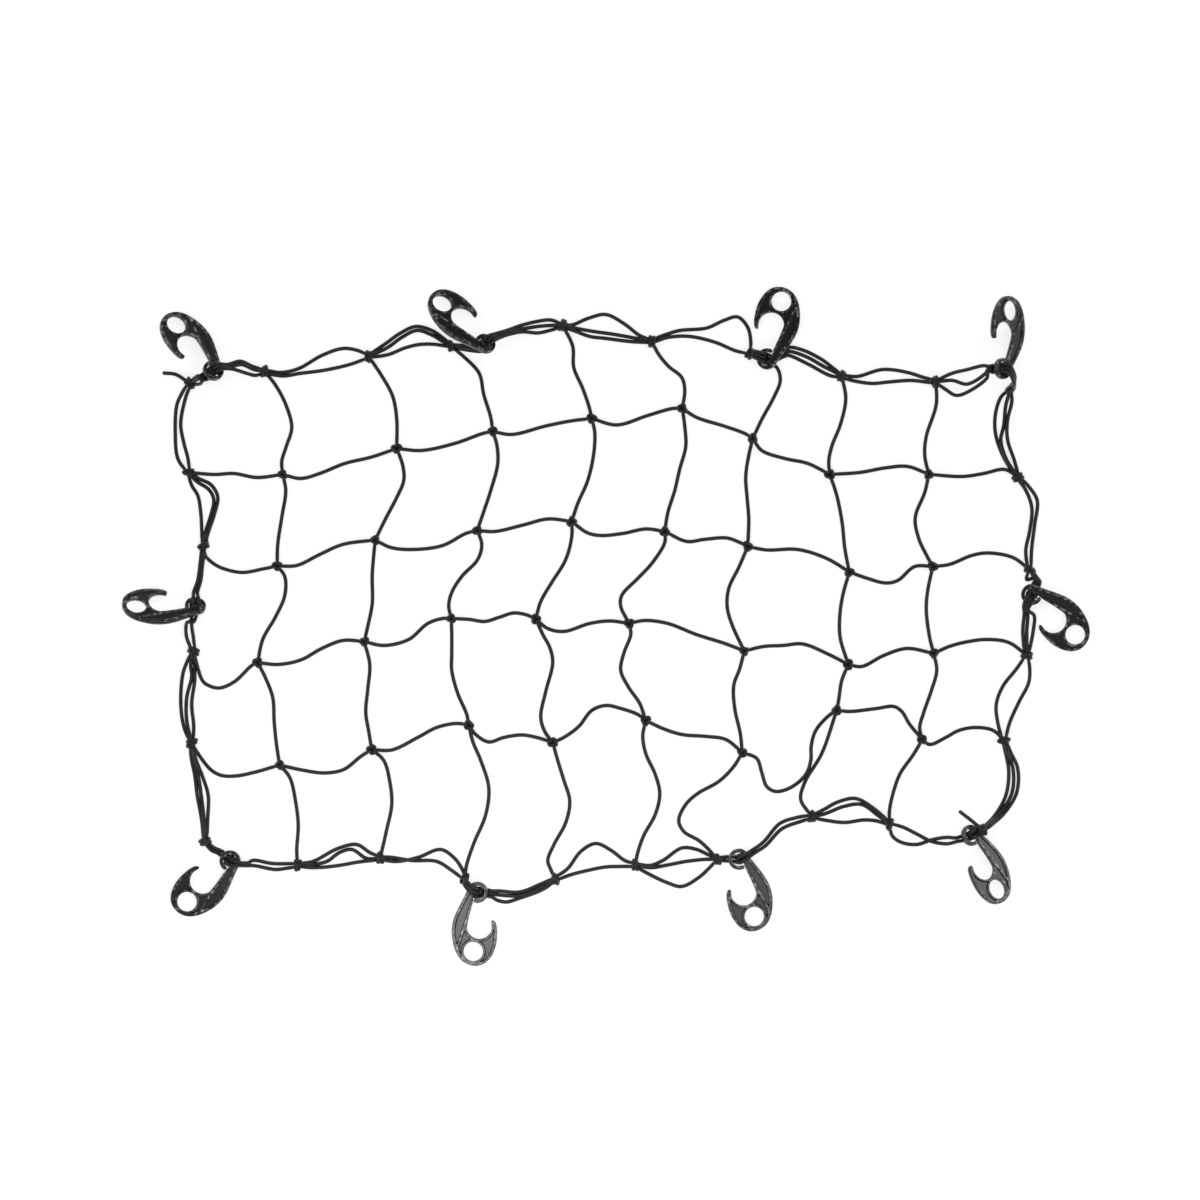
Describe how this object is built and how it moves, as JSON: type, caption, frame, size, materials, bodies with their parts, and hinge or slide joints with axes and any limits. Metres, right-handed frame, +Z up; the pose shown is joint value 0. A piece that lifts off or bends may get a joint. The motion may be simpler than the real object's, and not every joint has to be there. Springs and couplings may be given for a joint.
{
  "type": "luggage net",
  "caption": "Elastic luggage net of round cord knotted into a wide mesh, with a loose doubled border and flat plastic hooks threaded on it, lying loosely spread.",
  "frame": {"origin": "centre of the bounding box in plan, on the surface that the net lies on", "axes": "+X along the net's longer side, +Y across it, +Z up from the surface"},
  "size_m": [0.6282, 0.4413, 0.0237],
  "materials": {
    "cord": "braided, matt",
    "hook": "moulded, satin"
  },
  "bodies": {
    "root": {"net_mesh": "cord", "border_cord": "cord", "hook_1": "hook", "hook_2": "hook", "hook_3": "hook", "hook_4": "hook", "hook_5": "hook", "hook_6": "hook", "hook_7": "hook", "hook_8": "hook", "hook_9": "hook", "hook_10": "hook"}
  },
  "joints": []
}
